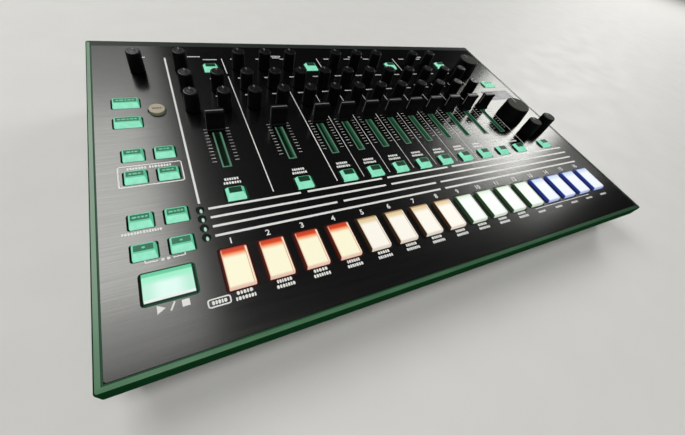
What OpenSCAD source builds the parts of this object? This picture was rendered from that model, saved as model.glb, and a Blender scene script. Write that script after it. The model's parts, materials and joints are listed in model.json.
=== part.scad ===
// Desktop drum machine: a wedge-shaped box with a sloping metal face that carries sixteen
// step pads, eleven channel faders, forty knobs and the function buttons.
// The face group is drawn flat, in face coordinates: x from the left edge, y from the front
// edge, z up from the plate's top surface. on_face() then tilts it into place.

/* [Body] */
// Width of the machine, left to right
body_w = 400; // [398:1:410]
// Length of the control face, front edge to rear edge, measured along its slope
face_d = 260; // [259:1:268]
// Slope of the control face towards the player, in degrees
face_tilt = 5; // [4:0.5:6]
// Height of the face's front edge above the table
front_h = 30.5; // [30:0.5:34]
// Thickness of the metal face plate
plate_t = 2; // [1.6:0.1:2.2]
// Width of the translucent rim, seen from above
rim_w = 3; // [2.5:0.1:3.4]
// Height of the rim's outer side
rim_h = 9; // [8:0.5:10]
// How far the tray's walls stand in from the rim's outer side
tray_inset = 5; // [4.5:0.5:5.5]
// Wall of the moulded tray
wall = 2.5; // [2:0.1:2.8]
// Height of the rubber feet
foot_h = 3.5; // [3:0.1:4]

/* [Layout] */
// Distance between neighbouring instrument channels
channel_pitch = 22.1; // [21.8:0.1:22.4]
// Left edge to the bass channel's fader
bass_x = 74.3; // [73.5:0.1:75]
// Left edge to the snare channel's fader
snare_x = 118.4; // [117.5:0.1:119]
// Left edge to the first narrow channel's fader
narrow_x = 151.5; // [151:0.1:153]
// Front edge to the row of step pads
pad_y = 38.9; // [38:0.1:40]
// Left edge to the first step pad
pad_x = 64.1; // [63.5:0.1:65]
// Distance between neighbouring step pads
pad_pitch = 20.575; // [20.4:0.025:20.8]
// Front edge to the row of channel select buttons
select_y = 86.5; // [86:0.1:88]
// Front edge to the fader caps, pushed fully up
fader_y = 145; // [144.5:0.1:145.5]
// Front edge to the lower knob row
decay_y = 168.4; // [168:0.1:169]
// Front edge to the middle knob row
tune_y = 191; // [190:0.1:192]
// Front edge to the upper knob row
send_y = 219; // [218:0.1:220]

/* [Controls] */
// Height of every knob above the face
knob_h = 15; // [14:0.5:15]
// Radius of a small knob at its foot
small_knob_r = 5.2; // [5:0.1:5.6]
// Height of a fader cap above the face
fader_h = 16; // [14:0.5:16]
// Travel of a fader
fader_travel = 31; // [28:0.5:31]
// Width of a step pad
pad_w = 14.2; // [13.6:0.1:14.4]
// Length of a step pad
pad_d = 23.2; // [22.4:0.1:23.4]
// Height of the pads and buttons above the face
cap_h = 2; // [1.5:0.1:2.5]
// Width of a small button
button_w = 12; // [11:0.1:12.2]
// Length of a small button
button_d = 9; // [8.5:0.1:9.2]

/* [Sockets] */
// Radius of a 6.35 mm jack socket's bore
jack_r = 3.2; // [3.18:0.01:3.3]
// Depth of a jack socket's bore
jack_depth = 28; // [26:0.5:29]
// Height of the jack sockets' axis above the table
jack_z = 25; // [25:0.1:26]
// Radius of a five-pin socket's recess
din_r = 7.6; // [7.2:0.1:7.8]

/* [Hidden] */
$fn = 48;
eps = 0.01;                 // overcut that keeps subtracted faces from coinciding
over = 1;                   // overcut of a cut that goes right through
beyond = 60;                // longer than anything that is cut off or drilled out
channels = 9;               // narrow channels
pads = 16;
pads_per_bank = 4;

// The body's frame: half depth over all, and the height of a point on the face
half_d = (face_d * cos(face_tilt) + rim_h * sin(face_tilt)) / 2;
function face_z(y, z) = front_h + y * sin(face_tilt) + z * cos(face_tilt);
function face_to_y(y, z) = y * cos(face_tilt) - z * sin(face_tilt) - half_d;

// Stack under the plate, as depths below its top surface
board_t = 1.6;
board_z = -12.4;            // top of the control board
board_inset = 19;           // the control board's side and front edges, clear of the standoffs
board_y0 = 10;
board_y1 = 228;             // the control board's rear edge, clear of the sockets
switch_w = 6;               // tact switch on the board
switch_h = 3.4;
flange_gap = 0.3;           // play above a button's retaining flange
flange_t = 1;
flange_lip = 1;             // how far the flange stands out all round
flange_z = -plate_t - flange_gap;
press_gap = 0.2;            // room left over the switch at full press
button_travel = 0.8;
stem_w = 4;
stem_end = board_z + switch_h + button_travel + press_gap;
edge_share = 0.3;           // share of a cap's height that is upright, under its slopes
cut_gap = 0.4;              // play between a cap and its opening

// How far a cap's top is drawn in at the sides, at the front and at the rear
pad_slopes = [0.35, 0.6, 0.6];
start_slopes = [0.7, 0.9, 0.9];
small_slopes = [0.8, 1.4, 0.6];
tall_slopes = [1.6, 2.6, 0.6];
effect_slopes = [1.6, 1.6, 1.2];
tall_cap_h = cap_h + 0.4;   // select and send buttons stand a little higher
rim_gap = 0.8;              // groove between the plate and the rim
ledge_w = 5;                // the rim's inner ledge, which carries the plate
corner_r = 3;

// Control positions on the face
fader_xs = concat([bass_x, snare_x], [for (i = [0:channels - 1]) narrow_x + i * channel_pitch]);
half_pitch = channel_pitch / 2;
tap_x = 363;
function channel_x(i) = narrow_x + i * channel_pitch;
function step_x(i) = pad_x + i * pad_pitch;
left_xs = [23, 40.4];
left_ys = [59.5, 78.5, 109.8, 127.8];
wide_button = [16.5, 9];
wide_x = 22.4;
wide_ys = [158.3, 178.3];
effect_button = [15, 9];
effect_at = [371, 181.5];
round_at = [40.6, 169.5];
round_r = 5.2;
send_button_xs = [bass_x + half_pitch, channel_x(1), channel_x(5), channel_x(8)];
start_at = [31.6, 39];
start_size = [23.5, 15.5];
led_x = 52.5;
led_ys = [60.3, 66.55, 72.8, 79.07];
led_r = 2.2;
mark_leds = [[381, 203.7], [371.4, 196.4]];
mark_led_r = 1.2;
display_at = [369.75, 162.75];
display_size = [38.5, 14.5];
display_module = [36, 13];
display_sunk = 0.2;         // the display window lies this far below the face
lens_play = 0.1;            // opening round a lamp's lens or the display window
lens_foot = 1;              // how far a lens reaches below the plate
led_proud = 0.4;
mark_proud = 0.2;

SWITCHES = concat(
    [start_at, effect_at, round_at],
    [for (i = [0:pads - 1]) [step_x(i), pad_y]],
    [for (x = left_xs, y = left_ys) [x, y]],
    [for (y = wide_ys) [wide_x, y]],
    [for (x = send_button_xs) [x, send_y]],
    [for (x = concat(fader_xs, [tap_x])) [x, select_y]]);

// Knobs: name, x, y, foot radius, top radius
sk = small_knob_r;
st = small_knob_r - 0.3;
narrow_names = ["low_tom", "mid_tom", "high_tom", "rim_shot", "hand_clap", "closed_hat",
                "open_hat", "crash", "ride"];
KNOBS = concat(
    [["volume_knob", 32.8, 218, sk, st],
     ["accent_knob", bass_x - half_pitch, send_y, sk, st],
     ["reverb_level_knob", snare_x - half_pitch, send_y, sk, st],
     ["reverb_time_knob", snare_x + half_pitch, send_y, sk, st],
     ["reverb_gate_knob", channel_x(0), send_y, sk, st],
     ["delay_level_knob", channel_x(2), send_y, sk, st],
     ["delay_time_knob", channel_x(3), send_y, sk, st],
     ["delay_feedback_knob", channel_x(4), send_y, sk, st],
     ["input_level_knob", channel_x(6), send_y, sk, st],
     ["input_duck_knob", channel_x(7), send_y, sk, st],
     ["bass_tune_knob", bass_x - half_pitch, tune_y, sk, st],
     ["bass_attack_knob", bass_x + half_pitch, tune_y, sk, st],
     ["bass_decay_knob", bass_x - half_pitch, decay_y, sk, st],
     ["bass_comp_knob", bass_x + half_pitch, decay_y, sk, st],
     ["snare_tune_knob", snare_x - half_pitch, tune_y, sk, st],
     ["snare_snap_knob", snare_x + half_pitch, tune_y, sk, st],
     ["snare_decay_knob", snare_x - half_pitch, decay_y, sk, st],
     ["snare_comp_knob", snare_x + half_pitch, decay_y, sk, st]],
    [for (i = [0:channels - 1]) [str(narrow_names[i], "_tune_knob"), channel_x(i), tune_y, sk, st]],
    [for (i = [0:channels - 1]) [str(narrow_names[i], "_decay_knob"), channel_x(i), decay_y, sk, st]],
    [["effect_knob", 352, 206.5, 10.5, 10],
     ["tempo_knob", 353, 127.5, 12.2, 11.2],
     ["shuffle_knob", 353, 103, 6.2, 6],
     ["fine_tempo_knob", 377, 107, 6.2, 6]]);

// Knob and potentiometer
knob_gap = 0.5;             // air under a knob's skirt
knob_bore_z = 10;           // how far the shaft enters the knob
press_play = 0.02;          // a pressed part's bore over its shaft
shaft_r = 2.98;
shaft_end = -10.4;
running_play = 0.07;        // shaft in its bush
bush_r = 4.4;
bush_z = -2.3;              // top of the bush, just under the plate
pot_body = [10, 11, 6];
plate_hole_r = 3.5;
pointer_w = 0.9;
pointer_depth = 0.35;
knob_edge = 0.9;            // rounding of a knob's top edge

// Fader
fader_w = 12;
fader_foot = 6.6;           // front to back at the foot
fader_top = 5.2;            // front to back at the top
fader_gap = 0.6;
lever = [2, 4];
lever_end = -8.5;
lever_in_cap = 6;
slot_shift = 0.15;          // the slot's middle lies this far behind the middle of the travel
guide_y = fader_y - fader_travel / 2 + slot_shift;
guide_outer = [6.4, fader_travel + 10.5];
guide_inner = [4, fader_travel + 7.7];
guide_depth = 4.4;
guide_flange = [8.4, fader_travel + 12.5, 1.2];
guide_play = 0.1;
slider_body = [9, fader_travel + 21, 7];
slider_slot = [2.8, fader_travel + 9];
slider_cavity = [5.4, fader_travel + 13, 5];
slider_floor = 1;

// Tray and fasteners, in the body's own frame
floor_z = foot_h;
tray_front_lean = 3;
tray_side_lean = 3;
front_top_y = face_to_y(tray_inset, -rim_h);
front_top_z = face_z(tray_inset, -rim_h);
rear_top_y = face_to_y(face_d - tray_inset, -rim_h);
rear_top_z = face_z(face_d - tray_inset, -rim_h);
rear_face = rear_top_y;
rear_inner = rear_face - wall;
screw_at = [[-186, -115], [-60, -115], [60, -115], [186, -115],
            [-186, 110], [186, 110], [-65, 74], [65, 74]];
column_r = 5;
column_top = 12;
recess_r = 3.2;
recess_top = 7;
screw_hole_r = 1.7;
thread_r = 1.5;
screw_r = 1.45;
screw_head_r = 2.9;
screw_head_h = 2;
screw_top = 20;
cross_slot = [3.2, 0.8, 2.2];
standoff_r = 3.5;
standoff_bore_top = 22;
standoff_clear = 0.8;       // round a standoff where it passes the control board
foot_r = 9;
foot_at = [[-178, -98], [178, -98], [-178, 94], [178, 94]];

// Rear sockets: where each stands along the rear wall
jack_xs = [-140, -104, -82, -48, -26, 8, 30];
din_xs = [62, 90];
usb_x = 118;
dc_x = 142;
power_x = 165;
jack_body = [14, 30, 12];
jack_nose_r = 4.6;
jack_mouth_r = 3.5;
nose_proud = 0.8;
socket_play = 0.3;          // wall opening over the socket in it
jack_board_top = jack_z - jack_body[2] / 2;
jack_board = [340, 44];
jack_board_x = 12;
din_body = [20, 14, 17];
din_z = jack_board_top + din_body[2] / 2;
din_depth = 9;
din_pins = 5;
din_pin_circle = 5.6;
din_pin_hole_r = 0.8;
din_pin_drop = 1.5;         // the pins' arc is centred this far below the socket's axis
din_pin_floor = 2;
usb_body = [12, 16, 11];
usb_mouth = [9, 8.4];
usb_tongue = [5.6, 3.2];
usb_depth = 12;
usb_lip = 0.5;              // the wall covers the socket's edge by this much
usb_z = jack_board_top + usb_body[2] / 2;
dc_body = [9, 14, 11];
dc_r = 3.1;
dc_pin_r = 1;
dc_pin_back = 0.5;          // the pin's tip stands back from the mouth
dc_depth = 9;
dc_rim = 1;
dc_z = jack_board_top + dc_body[2] / 2;
power_body = [13, 16, 11];
power_cap = [8, 5.6];
power_z = jack_board_top + power_body[2] / 2;
power_travel = 2;
power_proud = 3.2;
power_cavity = 12;
power_end_gap = 0.4;
socket_xs = concat(jack_xs, din_xs, [usb_x, dc_x, power_x]);

// The rear panel is made in sections, one socket to each, that meet half way between the sockets
section_gap = 0.1;
section_ends = concat(
    [-body_w / 2],
    [for (i = [1:len(socket_xs) - 1]) (socket_xs[i - 1] + socket_xs[i]) / 2],
    [body_w / 2]);

BANKS = ["pads_1_to_4", "pads_5_to_8", "pads_9_to_12", "pads_13_to_16"];
BANK_COLOURS = ["tomato", "wheat", "honeydew", "lightsteelblue"];

// Places what is drawn in face coordinates
module on_face() {
    translate([-body_w / 2, -half_d, front_h]) rotate([face_tilt, 0, 0]) children();
}

// Rectangle with rounded corners, centred
module round_rect(w, d, r) {
    square([w - 2 * r, d], center = true);
    square([w, d - 2 * r], center = true);
    for (sx = [-1, 1], sy = [-1, 1]) translate([sx * (w / 2 - r), sy * (d / 2 - r)]) circle(r);
}

// Box centred in x and y, standing on z0
module block(w, d, z0, z1) {
    translate([-w / 2, -d / 2, z0]) cube([w, d, z1 - z0]);
}

// Cap with four sloping sides: slopes says how far the top is drawn in at sides, front and rear
module sloped_cap(w, d, z0, z1, slopes) {
    x0 = w / 2;
    x1 = w / 2 - slopes[0];
    front = -d / 2 + slopes[1];
    rear = d / 2 - slopes[2];
    polyhedron(
        points = [[-x0, -d / 2, z0], [x0, -d / 2, z0], [x0, d / 2, z0], [-x0, d / 2, z0],
                  [-x1, front, z1], [x1, front, z1], [x1, rear, z1], [-x1, rear, z1]],
        faces = [[0, 1, 2, 3], [7, 6, 5, 4], [4, 5, 1, 0], [5, 6, 2, 1], [6, 7, 3, 2], [7, 4, 0, 3]]);
}

// One push button: cap, body through the plate, retaining flange and stem
module push_button(w, d, h, slopes) {
    edge_z = h * edge_share;
    sloped_cap(w, d, edge_z, h, slopes);
    block(w, d, flange_z - flange_t, edge_z);
    block(w + 2 * flange_lip, d + 2 * flange_lip, flange_z - flange_t, flange_z);
    block(stem_w, stem_w, stem_end, flange_z - flange_t);
}

module knob(k) {
    foot = k[3];
    top = k[4];
    arc_r = top - knob_edge;
    arc_z = knob_h - knob_edge;
    arc = [for (a = [0:30:90]) [arc_r + knob_edge * cos(a), arc_z + knob_edge * sin(a)]];
    color("#1b1c1d") on_face() translate([k[1], k[2], 0]) {
        difference() {
            rotate_extrude() polygon(concat([[0, knob_gap], [foot, knob_gap]], arc, [[0, knob_h]]));
            translate([0, 0, knob_gap - eps]) cylinder(h = knob_bore_z - knob_gap, r = shaft_r + press_play);
            translate([-pointer_w / 2, 0, knob_h - pointer_depth]) cube([pointer_w, top + over, over]);
        }
        translate([0, 0, shaft_end]) cylinder(h = knob_bore_z - shaft_end - 2 * press_play, r = shaft_r);
    }
}

// Box body and threaded bush of a rotary potentiometer, with the shaft's bore
module rotary_pot() {
    body_top = board_z + pot_body[2];
    difference() {
        union() {
            block(pot_body[0], pot_body[1], board_z, body_top);
            translate([0, 0, body_top]) cylinder(h = bush_z - body_top, r = bush_r);
        }
        translate([0, 0, shaft_end - press_gap]) cylinder(h = beyond, r = shaft_r + running_play);
    }
}

// Slide potentiometer: a long box with a slot for the lever and room for its slider
module slide_pot() {
    floor_top = board_z + slider_floor;
    difference() {
        block(slider_body[0], slider_body[1], board_z, board_z + slider_body[2]);
        block(slider_cavity[0], slider_cavity[1], floor_top, floor_top + slider_cavity[2]);
        block(slider_slot[0], slider_slot[1], floor_top, 0);
    }
}

module potentiometers() {
    color("#9a9c9e") on_face() {
        for (k = KNOBS) translate([k[1], k[2], 0]) rotary_pot();
        for (x = fader_xs) translate([x, guide_y, 0]) slide_pot();
    }
}

// Opening in the plate round a control of this size, with this play all round
module opening(at, size, play) {
    translate(at) square([size[0] + 2 * play, size[1] + 2 * play], center = true);
}

module plate_openings() {
    small_button = [button_w, button_d];
    for (i = [0:pads - 1]) opening([step_x(i), pad_y], [pad_w, pad_d], cut_gap);
    for (x = left_xs, y = left_ys) opening([x, y], small_button, cut_gap);
    for (y = wide_ys) opening([wide_x, y], wide_button, cut_gap);
    for (x = send_button_xs) opening([x, send_y], small_button, cut_gap);
    for (x = concat(fader_xs, [tap_x])) opening([x, select_y], small_button, cut_gap);
    opening(start_at, start_size, cut_gap);
    opening(effect_at, effect_button, cut_gap);
    translate(round_at) circle(round_r + cut_gap);
    for (k = KNOBS) translate([k[1], k[2]]) circle(plate_hole_r);
    for (x = fader_xs) opening([x, guide_y], guide_outer, guide_play / 2);
    for (y = led_ys) translate([led_x, y]) circle(led_r + lens_play);
    for (p = mark_leds) translate(p) circle(mark_led_r + lens_play);
    opening(display_at, display_size, lens_play);
}

module top_panel() {
    inset = 2 * (rim_w + rim_gap);
    color("#17181a") on_face() translate([0, 0, -plate_t]) linear_extrude(plate_t) difference() {
        translate([body_w / 2, face_d / 2]) round_rect(body_w - inset, face_d - inset, corner_r / 2);
        plate_openings();
    }
}

module edge_trim() {
    inner = rim_w + ledge_w;
    color("#3f9a64") on_face() translate([body_w / 2, face_d / 2, 0]) difference() {
        translate([0, 0, -rim_h]) linear_extrude(rim_h) round_rect(body_w, face_d, corner_r);
        translate([0, 0, -plate_t]) linear_extrude(plate_t + over)
            round_rect(body_w - 2 * rim_w, face_d - 2 * rim_w, corner_r / 2);
        translate([0, 0, -rim_h - over]) linear_extrude(rim_h + over)
            round_rect(body_w - 2 * inner, face_d - 2 * inner, corner_r / 3);
    }
}

// The wedge under the rim, drawn in by inset on every side and cut off under the rim
module tray_wedge(inset, base) {
    side = body_w / 2 - tray_inset - inset;
    rise = inset > 0 ? 2 * over : 0;
    intersection() {
        translate([-body_w / 2, 0, 0]) rotate([90, 0, 90]) linear_extrude(body_w) polygon([
            [front_top_y + tray_front_lean + inset, base],
            [rear_face - inset, base],
            [rear_face - inset, rear_top_z + rise],
            [front_top_y + inset, front_top_z + rise]]);
        translate([0, half_d, 0]) rotate([90, 0, 0]) linear_extrude(2 * half_d) polygon([
            [-side + tray_side_lean, base], [side - tray_side_lean, base],
            [side, rear_top_z + rise], [-side, rear_top_z + rise]]);
    }
}

// Everything behind the rear wall's inner side
module rear_slab() {
    translate([-body_w / 2, rear_inner, 0]) cube([body_w, beyond, beyond]);
}

// A bore that enters the machine from behind at x and z, from y0 forwards
module rear_bore(x, y0, z, h, r) {
    translate([x, y0, z]) rotate([90, 0, 0]) cylinder(h = h, r = r);
}

module rear_wall_openings() {
    depth = wall + 2 * over;
    for (x = jack_xs) rear_bore(x, rear_face + over, jack_z, depth, jack_nose_r + socket_play);
    for (x = din_xs) rear_bore(x, rear_face + over, din_z, depth, din_r + socket_play);
    rear_bore(dc_x, rear_face + over, dc_z, depth, dc_r + dc_rim);
    translate([usb_x, rear_face, usb_z])
        cube([usb_body[0] - 2 * usb_lip, 2 * depth, usb_body[2] - 2 * usb_lip], center = true);
    translate([power_x, rear_face, power_z])
        cube([power_cap[0] + 2 * cut_gap, 2 * depth, power_cap[1] + 2 * cut_gap], center = true);
}

module bottom_case() {
    color("#141516") difference() {
        union() {
            difference() {
                tray_wedge(0, floor_z);
                tray_wedge(wall, floor_z + wall);
            }
            for (p = screw_at) translate([p[0], p[1], floor_z])
                cylinder(h = column_top - floor_z, r = column_r);
        }
        for (p = screw_at) translate([p[0], p[1], 0]) {
            cylinder(h = recess_top, r = recess_r);
            cylinder(h = column_top + over, r = screw_hole_r);
        }
        rear_slab();
    }
}

module rear_panel() {
    color("#17181a") for (i = [0:len(socket_xs) - 1]) difference() {
        width = section_ends[i + 1] - section_ends[i] - section_gap;
        intersection() {
            tray_wedge(0, floor_z);
            translate([section_ends[i] + section_gap / 2, rear_inner, 0]) cube([width, beyond, beyond]);
        }
        rear_wall_openings();
    }
}

module circuit_boards() {
    color("#1d5a36") {
        difference() {
            on_face() {
                translate([board_inset, board_y0, board_z - board_t])
                    cube([body_w - 2 * board_inset, board_y1 - board_y0, board_t]);
                for (p = SWITCHES) translate([p[0], p[1], 0])
                    block(switch_w, switch_w, board_z, board_z + switch_h);
                translate([display_at[0], display_at[1], 0])
                    block(display_module[0], display_module[1], board_z, -plate_t - press_gap);
            }
            for (p = screw_at) translate([p[0], p[1], column_top])
                cylinder(h = beyond, r = standoff_r + standoff_clear);
        }
        translate([jack_board_x - jack_board[0] / 2, rear_inner - jack_board[1], jack_board_top - board_t])
            cube([jack_board[0], jack_board[1], board_t]);
    }
}

module light_guides() {
    foot_z = -plate_t - lens_foot;
    color("#2f7d52") on_face() {
        for (x = fader_xs) translate([x, guide_y, 0]) difference() {
            union() {
                block(guide_outer[0], guide_outer[1], -guide_depth, 0);
                block(guide_flange[0], guide_flange[1], -plate_t - guide_flange[2], -plate_t);
            }
            block(guide_inner[0], guide_inner[1], -guide_depth - over, over);
        }
        for (y = led_ys) translate([led_x, y, foot_z]) cylinder(h = led_proud - foot_z, r = led_r);
        for (p = mark_leds) translate([p[0], p[1], foot_z])
            cylinder(h = mark_proud - foot_z, r = mark_led_r);
        translate([display_at[0], display_at[1], 0])
            block(display_size[0], display_size[1], -plate_t, -display_sunk);
    }
}

module step_pads(bank) {
    color(BANK_COLOURS[bank]) on_face() for (i = [0:pads_per_bank - 1])
        translate([step_x(bank * pads_per_bank + i), pad_y, 0])
            push_button(pad_w, pad_d, cap_h, pad_slopes);
}

module start_stop_button() {
    color("#7fe3b4") on_face() translate([start_at[0], start_at[1], 0])
        push_button(start_size[0], start_size[1], cap_h, start_slopes);
}

module select_buttons() {
    color("#6fdcaa") on_face() for (x = concat(fader_xs, [tap_x])) translate([x, select_y, 0])
        push_button(button_w, button_d, tall_cap_h, tall_slopes);
}

module round_button() {
    foot_z = flange_z - flange_t;
    translate([0, 0, foot_z]) cylinder(h = cap_h - foot_z, r = round_r);
    translate([0, 0, foot_z]) cylinder(h = flange_t, r = round_r + flange_lip);
    block(stem_w, stem_w, stem_end, flange_z);
}

module function_buttons() {
    color("#6fdcaa") on_face() {
        for (x = left_xs, y = left_ys) translate([x, y, 0])
            push_button(button_w, button_d, cap_h, small_slopes);
        for (y = wide_ys) translate([wide_x, y, 0])
            push_button(wide_button[0], wide_button[1], cap_h, small_slopes);
        for (x = send_button_xs) translate([x, send_y, 0])
            push_button(button_w, button_d, tall_cap_h, tall_slopes);
        translate([effect_at[0], effect_at[1], 0])
            push_button(effect_button[0], effect_button[1], cap_h, effect_slopes);
        translate([round_at[0], round_at[1], 0]) round_button();
    }
}

module fader_caps() {
    color("#18191a") on_face() for (x = fader_xs) translate([x, fader_y, 0]) {
        difference() {
            translate([-fader_w / 2, 0, 0]) rotate([90, 0, 90]) linear_extrude(fader_w) polygon([
                [-fader_foot / 2, fader_gap], [fader_foot / 2, fader_gap],
                [fader_top / 2, fader_h], [-fader_top / 2, fader_h]]);
            block(lever[0] + 2 * press_play, lever[1] + 2 * press_play, 0, lever_in_cap + press_play);
        }
        block(lever[0], lever[1], lever_end, lever_in_cap);
    }
}

module phone_jacks() {
    nose_end = rear_face + nose_proud;
    color("#222325") for (x = jack_xs) difference() {
        union() {
            translate([x - jack_body[0] / 2, rear_inner - jack_body[1], jack_z - jack_body[2] / 2])
                cube(jack_body);
            rear_bore(x, nose_end, jack_z, wall + nose_proud + eps, jack_nose_r);
        }
        rear_bore(x, nose_end + eps, jack_z, wall + nose_proud + 2 * eps, jack_mouth_r);
        rear_bore(x, rear_inner + 2 * eps, jack_z, jack_depth, jack_r);
    }
}

// A socket's housing, standing on the jack board against the rear wall
module socket_body(x, size) {
    translate([x - size[0] / 2, rear_inner - size[1], jack_board_top]) cube(size);
}

module five_pin_socket(x) {
    pin_step = 180 / (din_pins - 1);
    pin_z = din_z - din_pin_drop;
    difference() {
        socket_body(x, din_body);
        rear_bore(x, rear_inner + eps, din_z, din_depth, din_r);
        for (i = [0:din_pins - 1]) rear_bore(
            x + din_pin_circle * cos(pin_step * i), rear_inner,
            pin_z + din_pin_circle * sin(pin_step * i), din_body[1] - din_pin_floor, din_pin_hole_r);
    }
}

module usb_socket() {
    difference() {
        socket_body(usb_x, usb_body);
        difference() {
            translate([usb_x - usb_mouth[0] / 2, rear_inner - usb_depth, usb_z - usb_mouth[1] / 2])
                cube([usb_mouth[0], usb_depth + over, usb_mouth[1]]);
            translate([usb_x - usb_tongue[0] / 2, rear_inner - usb_depth - over, usb_z - usb_tongue[1] / 2])
                cube([usb_tongue[0], usb_depth, usb_tongue[1]]);
        }
    }
}

module power_inlet() {
    difference() {
        socket_body(dc_x, dc_body);
        difference() {
            rear_bore(dc_x, rear_inner + eps, dc_z, dc_depth, dc_r);
            rear_bore(dc_x, rear_inner - dc_pin_back, dc_z, dc_depth, dc_pin_r);
        }
    }
}

module power_switch() {
    difference() {
        socket_body(power_x, power_body);
        translate([power_x, rear_inner, power_z])
            cube([power_cap[0] + 2 * cut_gap, 2 * power_cavity, power_cap[1] + 2 * cut_gap], center = true);
    }
}

module rear_sockets() {
    color("#2b2c2e") {
        for (x = din_xs) five_pin_socket(x);
        usb_socket();
        power_inlet();
        power_switch();
    }
}

module power_button() {
    length = power_cavity - power_travel - power_end_gap + wall + power_proud;
    front = rear_face + power_proud - length;
    color("#202123") translate([power_x - power_cap[0] / 2, front, power_z - power_cap[1] / 2])
        cube([power_cap[0], length, power_cap[1]]);
}

module rubber_feet() {
    color("#0d0d0e") for (p = foot_at) translate([p[0], p[1], 0]) cylinder(h = foot_h, r = foot_r);
}

// A cross-headed screw from below, and the threaded standoff under the plate that it pulls on
module case_fasteners() {
    head_z = recess_top - screw_head_h;
    color("#77797b") for (p = screw_at) {
        translate([p[0], p[1], head_z]) difference() {
            union() {
                cylinder(h = screw_head_h, r = screw_head_r);
                cylinder(h = screw_top - head_z, r = screw_r);
            }
            for (a = [0, 90]) rotate([0, 0, a]) cube(cross_slot, center = true);
        }
        difference() {
            translate([p[0], p[1], column_top]) cylinder(h = beyond, r = standoff_r);
            translate([p[0], p[1], column_top - eps])
                cylinder(h = standoff_bore_top - column_top, r = thread_r);
            on_face() translate([0, 0, -plate_t]) cube([body_w, face_d, beyond]);
        }
    }
}

top_panel();
edge_trim();
bottom_case();
rear_panel();
circuit_boards();
potentiometers();
light_guides();
phone_jacks();
rear_sockets();
rubber_feet();
case_fasteners();
start_stop_button();
fader_caps();
select_buttons();
function_buttons();
power_button();
for (b = [0:len(BANKS) - 1]) step_pads(b);
for (k = KNOBS) knob(k);
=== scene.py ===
"""Looks of the desktop drum machine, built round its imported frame.

Lengths are millimetres in face coordinates: x from the left edge, y from the front edge and z up
from the top of the face plate. FACE turns them into the row's metres, slope included.
"""
import bmesh
import bpy
import json
import math
from mathutils import Matrix, Vector


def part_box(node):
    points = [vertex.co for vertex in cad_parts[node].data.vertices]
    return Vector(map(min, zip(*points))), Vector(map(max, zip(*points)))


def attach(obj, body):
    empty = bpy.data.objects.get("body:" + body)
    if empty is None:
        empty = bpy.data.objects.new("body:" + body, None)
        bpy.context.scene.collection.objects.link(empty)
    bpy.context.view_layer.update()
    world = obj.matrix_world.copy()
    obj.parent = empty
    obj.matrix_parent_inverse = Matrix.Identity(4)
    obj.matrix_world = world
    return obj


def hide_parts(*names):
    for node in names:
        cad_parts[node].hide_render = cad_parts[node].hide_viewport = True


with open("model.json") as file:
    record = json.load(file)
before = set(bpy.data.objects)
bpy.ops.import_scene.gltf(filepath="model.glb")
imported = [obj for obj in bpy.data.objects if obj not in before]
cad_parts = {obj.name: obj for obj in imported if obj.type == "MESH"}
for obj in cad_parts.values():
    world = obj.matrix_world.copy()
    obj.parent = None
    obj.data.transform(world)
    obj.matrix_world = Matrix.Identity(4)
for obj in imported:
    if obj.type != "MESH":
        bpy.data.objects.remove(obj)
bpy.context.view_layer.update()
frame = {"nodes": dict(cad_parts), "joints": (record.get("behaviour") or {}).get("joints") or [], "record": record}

MM = 0.001

# ---- the face, taken from the frame ----
FACE_D = 260
hinges = [j for j in frame["joints"] if j["type"] == "hinge"]
TILT = math.atan2(-hinges[0]["axis"][1], hinges[0]["axis"][2])
rim_low, rim_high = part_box("edge_trim")
BODY_W = (rim_high.x - rim_low.x) / MM
HALF_D = -rim_low.y / MM
FRONT_H = rim_high.z / MM - FACE_D * math.sin(TILT)
FACE = (Matrix.Translation(Vector((-BODY_W / 2, -HALF_D, FRONT_H)) * MM)
        @ Matrix.Rotation(TILT, 4, "X") @ Matrix.Scale(MM, 4))
TO_FACE = FACE.inverted()
ROW = Matrix.Scale(MM, 4)

# ---- driving dimensions, in millimetres ----
PLATE_T = 2
RIM_W = 3
RIM_H = 9
RIM_LEDGE = 5
CHANNEL_PITCH = 22.1
BASS_X = 74.3
SNARE_X = 118.4
NARROW_X = 151.5
NARROW_CHANNELS = 9
PAD_X = 64.1
PAD_Y = 38.9
PAD_PITCH = 20.575
PAD_SIZE = (14.2, 23.2)
PADS_PER_BANK = 4
BANKS = 4
SELECT_Y = 86.5
TAP_X = 363
SEND_Y = 219
BUTTON = (12, 9)
WIDE_BUTTON = (16.5, 9)
EFFECT_BUTTON = (15, 9)
EFFECT_AT = (371, 181.5)
LEFT_XS = (23, 40.4)
LEFT_YS = (59.5, 78.5, 109.8, 127.8)
WIDE_X = 22.4
WIDE_YS = (158.3, 178.3)
ROUND_AT = (40.6, 169.5)
ROUND_R = 5.2
START_AT = (31.6, 39)
START_SIZE = (23.5, 15.5)
FADER_Y = 145
SLOT_Y = 129.65
SLOT_OUTER = (6.4, 41.5)
LAMP_X = 52.5
LAMP_YS = (60.3, 66.55, 72.8, 79.07)
DISPLAY_AT = (369.75, 162.75)
DISPLAY_SIZE = (38.5, 14.5)

CAP_H = 2
TALL_CAP_H = 2.4
FLANGE_Z = -2.3
FLANGE_T = 1
FLANGE_BOTTOM = FLANGE_Z - FLANGE_T
FLANGE_LIP = 1
STEM_W = 4
STEM_INSET = 2
STEM_END = -8
EDGE_SHARE = 0.3

# How far a cap's top is drawn in at the sides, at the front and at the rear
PAD_SLOPES = (0.35, 0.6, 0.6)
START_SLOPES = (0.6, 1.3, 0.7)
SMALL_SLOPES = (0.8, 3.3, 0.5)
TALL_SLOPES = (1.5, 3.6, 0.5)
EFFECT_SLOPES = (1.5, 3.2, 0.8)

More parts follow.
